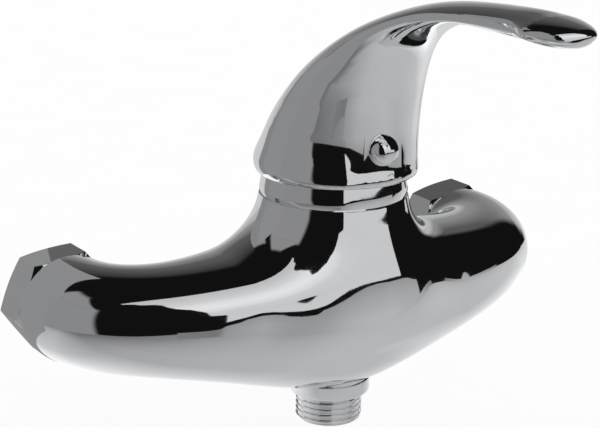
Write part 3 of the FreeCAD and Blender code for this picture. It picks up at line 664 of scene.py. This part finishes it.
def smooth_step(tree, value, edge, width, falling=False):
    """0 to 1 as value passes edge, over twice width, or 1 to 0 if falling."""
    distance = add(tree, "ShaderNodeMath", {0: value, 1: edge}, operation="SUBTRACT")
    ends = (1.0, 0.0) if falling else (0.0, 1.0)
    return add(tree, "ShaderNodeMapRange", {
        "Value": distance.outputs[0], "From Min": -width, "From Max": width,
        "To Min": ends[0], "To Max": ends[1]}, interpolation_type="SMOOTHSTEP").outputs[0]


def card(tree, under, side, height, left, right, low, high, glow, soft):
    """Lays a card over the light under it, from height low to high, with edges that fade over
    twice soft. left, right and glow are pairs: at the card's foot and at its top."""
    left_edge, right_edge, brightness = [
        add(tree, "ShaderNodeMapRange", {
            "Value": height, "From Min": low, "From Max": high, "To Min": foot,
            "To Max": top}).outputs[0]
        for foot, top in (left, right, glow)]
    mask = smooth_step(tree, side, left_edge, soft)
    for other in (smooth_step(tree, side, right_edge, soft, True),
                  smooth_step(tree, height, low, soft),
                  smooth_step(tree, height, high, soft, True)):
        mask = times(tree, mask, other)
    return add(tree, "ShaderNodeMix", {0: mask, 2: under, 3: brightness}).outputs[0]


# Each row: left edge, right edge (at the foot and at the top), foot, top, glow (foot and top),
# softness of the edges. Degrees; 0 is straight in front of the mixer, + is to its right.
CARDS = (
    ((-200, -200), (-122, -122), -95, 14, (0.29, 0.25), 3.0),
    ((-200, -200), (-140, -140), 10, 46, (0.26, 0.26), 2.0),
    ((-128, -128), (-54, -74), -95, 40, (0.28, 0.28), 3.0),
    ((-128, -128), (-74, -102), 38, 57, (0.28, 0.28), 3.0),
    ((116, 120), (200, 200), -95, 0, (0.90, 0.62), 4.0),
    ((116, 120), (200, 200), -1, 11, (0.60, 0.30), 4.0),
    ((117, 121), (200, 200), 9, 26, (0.33, 0.10), 4.0),
    ((118, 122), (200, 200), 24, 50, (0.12, 0.03), 4.0),
)
DARK_ROOM = 0.006
# The compass runs once round from here, which gives the cards behind the mixer a sharp end.
SEAM = -168
world = bpy.data.worlds.new("product_studio")
bpy.context.scene.world = world
world.use_nodes = True
world.cycles.sampling_method = "NONE"
studio = world.node_tree
studio.nodes.clear()
ray = add(studio, "ShaderNodeSeparateXYZ", {
    0: add(studio, "ShaderNodeTexCoord").outputs["Generated"]}).outputs
ahead = times(studio, ray[1], -1.0)
turn = add(studio, "ShaderNodeMath", {0: ray[0], 1: ahead}, operation="ARCTAN2").outputs[0]
rise = add(studio, "ShaderNodeMath", {0: ray[2]}, operation="ARCSINE").outputs[0]
degrees = add(studio, "ShaderNodeMath", {0: turn}, operation="DEGREES").outputs[0]
compass = add(studio, "ShaderNodeMath", {0: degrees, 1: SEAM + 360, 2: SEAM},
              operation="WRAP").outputs[0]
altitude = add(studio, "ShaderNodeMath", {0: rise}, operation="DEGREES").outputs[0]
light = DARK_ROOM
for row in CARDS:
    light = card(studio, light, compass, altitude, *row)
path = add(studio, "ShaderNodeLightPath").outputs
seen = add(studio, "ShaderNodeMix", {0: path["Is Glossy Ray"], 2: 1.0, 3: light}).outputs[0]
background = add(studio, "ShaderNodeBackground", {0: (1.0, 1.0, 1.0, 1.0), 1: seen})
add(studio, "ShaderNodeOutputWorld", {0: background.outputs[0]})
print("studio nodes:", len(studio.nodes))

# %% [markdown]
# ## Cards near the mixer
# By its reflections, four things stood so near the mixer that its lever, which is higher up, sees
# them at another angle than the body does: the softbox in front of it, a grey card below the
# softbox, the pale table top that it was set over, and a grey board behind its left side. They
# are real surfaces here, so that each point of the chrome finds them in the right direction.
# They glow by themselves, only mirror rays see them, and they cast no shadow.

# %% What a near card is


def near_card(name, corners_mm):
    """A flat glowing card that only mirror rays see. Gives its material's node tree and the
    three parts of a point's place on it: x, y and z."""
    mesh = bpy.data.meshes.new(name)
    mesh.from_pydata((np.array(corners_mm, float) * MM).tolist(), [],
                     [tuple(range(len(corners_mm)))])
    made = placed(name, mesh)
    made.visible_camera = False
    made.visible_diffuse = False
    made.visible_shadow = False
    made.visible_transmission = False
    material, tree = bare_material(name + "_glow")
    mesh.materials.append(material)
    place = add(tree, "ShaderNodeTexCoord").outputs["Object"]
    return tree, add(tree, "ShaderNodeSeparateXYZ", {0: place}).outputs


def share(tree, value, first_mm, last_mm):
    """0 to 1 as value goes from the first number of millimetres to the last one."""
    return add(tree, "ShaderNodeMapRange", {
        "Value": value, "From Min": first_mm * MM, "From Max": last_mm * MM}).outputs[0]


def ramp_along(tree, value, stops):
    """Values between stops of (millimetres, value), straight from one stop to the next."""
    first, last = stops[0][0], stops[-1][0]
    ramp = add(tree, "ShaderNodeValToRGB", {0: share(tree, value, first, last)})
    elements = ramp.color_ramp.elements
    while len(elements) < len(stops):
        elements.new(0.5)
    for element, (place, level) in zip(elements, stops):
        element.position = (place - first) / (last - first)
        element.color = (level, level, level, 1.0)
    return ramp.outputs[0]


def give_glow(tree, glow):
    """White light of that strength, the same in all directions."""
    glowing = add(tree, "ShaderNodeEmission", {0: (1.0, 1.0, 1.0, 1.0), 1: glow})
    add(tree, "ShaderNodeOutputMaterial", {0: glowing.outputs[0]})


print("near cards: each is one flat face whose glow is drawn by its nodes")

# %% [markdown]
# ## The four cards
# Their outlines and tones were changed until the chrome's reflections looked as in the
# photograph. A tone is a row of stops along one axis. Everything is in millimetres in the part's
# own axes: x to the right, y to the back and z up.

# %% Place the four cards
SOFTBOX_Y, CARD_Y, BOARD_Y = -221, -187, 30
TABLE_Z, TABLE_BACK, TABLE_RIGHT, BOARD_TOP = -47, 110, 600, 108
BOARD_GLOW = 0.29
SOFTBOX_OUTLINE = (
    (-62, 14), (-62, 60), (-80, 72), (-84, 105), (-93, 130), (-104, 160), (-128, 200),
    (-150, 260), (-165, 330), (-190, 380), (-255, 440), (-300, 520), (-400, 620), (-450, 700),
    (60, 700), (60, 90), (205, 70), (200, 37), (90, 39), (20, 43), (-15, 42), (-30, 36), (-45, 25))
softbox, spot = near_card("softbox", [(x, SOFTBOX_Y, z) for x, z in SOFTBOX_OUTLINE])
give_glow(softbox, ramp_along(softbox, spot[2], (
    (40, 0.66), (60, 0.64), (95, 0.68), (110, 0.78), (150, 0.88), (200, 0.82), (260, 0.70),
    (350, 0.64), (500, 0.58), (700, 0.58))))

# The front card stands on the table, nearer than the softbox, so a thin black gap shows between.
CARD_TOP = (
    (-110, -16), (-64, -19), (-58, -5), (-47, 2), (-43, 10), (-30, 17), (-15, 23), (0, 28),
    (20, 31), (50, 31), (90, 28), (170, 26), (200, 24), (230, 20), (270, 15), (298, 12),
    (306, -30), (600, -22))
front_card, spot = near_card("front_card", [
    (-110, CARD_Y, TABLE_Z), *((x, CARD_Y, z) for x, z in CARD_TOP),
    (TABLE_RIGHT, CARD_Y, TABLE_Z)])
across = ramp_along(front_card, spot[0], (
    (-110, 0.22), (-64, 0.20), (-57, 0.34), (-30, 0.42), (-10, 0.48), (20, 0.51), (90, 0.53),
    (170, 0.48), (320, 0.43), (600, 0.20)))
upward = ramp_along(front_card, spot[2], (
    (-47, 1.0), (-20, 0.98), (0, 0.90), (15, 0.80), (30, 0.64)))
give_glow(front_card, times(front_card, across, upward))

# The table's tone is drawn along x in three rows, and it goes from row to row along y.
table, spot = near_card("table_top", [
    (-310, TABLE_BACK, TABLE_Z), (-310, -150, TABLE_Z), (-20, -437, TABLE_Z),
    (-20, CARD_Y, TABLE_Z), (TABLE_RIGHT, CARD_Y, TABLE_Z),
    (TABLE_RIGHT, TABLE_BACK, TABLE_Z)])
front_row = ramp_along(table, spot[0], (
    (-310, 0.16), (-200, 0.20), (-140, 0.235), (-100, 0.26), (-60, 0.33), (-30, 0.40), (0, 0.48),
    (60, 0.52), (130, 0.49), (470, 0.45)))
middle_row = ramp_along(table, spot[0], (
    (-310, 0.21), (-270, 0.17), (-220, 0.22), (-170, 0.30), (-140, 0.34), (-100, 0.42),
    (-60, 0.46), (0, 0.53), (90, 0.53), (200, 0.58), (470, 0.56)))
back_row = ramp_along(table, spot[0], (
    (-310, 0.23), (-250, 0.37), (-200, 0.48), (-140, 0.55), (-110, 0.62), (-80, 1.05),
    (150, 1.1), (200, 0.8), (470, 0.6)))
glow = add(table, "ShaderNodeMix", {
    0: share(table, spot[1], -180, -80), 2: front_row, 3: middle_row}).outputs[0]
give_glow(table, add(table, "ShaderNodeMix", {
    0: share(table, spot[1], -62, 0), 2: glow, 3: back_row}).outputs[0])

board = near_card("side_board", [
    (-190, BOARD_Y, TABLE_Z), (-64, BOARD_Y, TABLE_Z), (-64, BOARD_Y, BOARD_TOP),
    (-190, BOARD_Y, BOARD_TOP)])[0]
give_glow(board, BOARD_GLOW)
print("near cards: softbox, front_card, table_top, side_board")

# %% [markdown]
# ## Floor
# The mixer hangs on a wall, so nothing touches the floor: it lies well below, pale and matt, and
# only catches a soft shadow. The chrome's mirror rays pass it, because the near table top is what
# the metal shows below the mixer.

# %% Lay the floor
FLOOR_Z, FLOOR_HALF, FLOOR_GRAIN_MM = -120 * MM, 6.0, 40
floor_mesh = bpy.data.meshes.new("studio_floor")
floor_mesh.from_pydata([(x * FLOOR_HALF, y * FLOOR_HALF, FLOOR_Z) for x, y in (
    (-1, -1), (1, -1), (1, 1), (-1, 1))], [], [(0, 1, 2, 3)])
floor = placed("studio_floor", floor_mesh)
floor.visible_glossy = False
# Matt white paint: soft patches of two whites that hardly differ.
floor_paint, paint = bare_material("matt_white_floor_paint")
floor_place = add(paint, "ShaderNodeTexCoord").outputs["Object"]
paint_tone = add(paint, "ShaderNodeMix", {
    0: noise(paint, floor_place, FLOOR_GRAIN_MM, 2.0), 6: linear("FDFDFD"), 7: linear("FFFFFF")},
    data_type="RGBA")
paint_shader = add(paint, "ShaderNodeBsdfDiffuse", {"Color": paint_tone.outputs[2]})
add(paint, "ShaderNodeOutputMaterial", {"Surface": paint_shader.outputs[0]})
floor_mesh.materials.append(floor_paint)
print("floor at", FLOOR_Z)

# %% [markdown]
# ## Camera
# The camera stands where the photograph was taken from: to the left of the mixer and a little
# above it. Its place, its three axes and its lens were solved from the two hexagon nuts and the
# 150 mm between the inlets, so the render can be laid over the photograph.

# %% Stand the camera
CAMERA_PLACE_MM = (-298.448, -478.264, 182.193)
CAMERA_RIGHT = (0.83678, -0.54728, 0.01716)
CAMERA_UP = (0.14176, 0.24681, 0.95864)
LENS_MM, SENSOR_MM, CLIP_END = 106.616, 36.0, 50.0
camera_data = bpy.data.cameras.new("photo_camera")
camera_data.sensor_width = SENSOR_MM
camera_data.sensor_fit = "HORIZONTAL"
camera_data.lens = LENS_MM
camera_data.clip_end = CLIP_END
camera = placed("photo_camera", camera_data)
pose = np.eye(4)
pose[:3, 0] = CAMERA_RIGHT
pose[:3, 1] = CAMERA_UP
pose[:3, 2] = np.cross(CAMERA_RIGHT, CAMERA_UP)
pose[:3, 3] = np.array(CAMERA_PLACE_MM) * MM
camera.matrix_world = Matrix(pose.tolist())
bpy.context.scene.camera = camera
bpy.context.scene.view_settings.view_transform = "Standard"
print("camera at", [round(v, 3) for v in pose[:3, 3]])
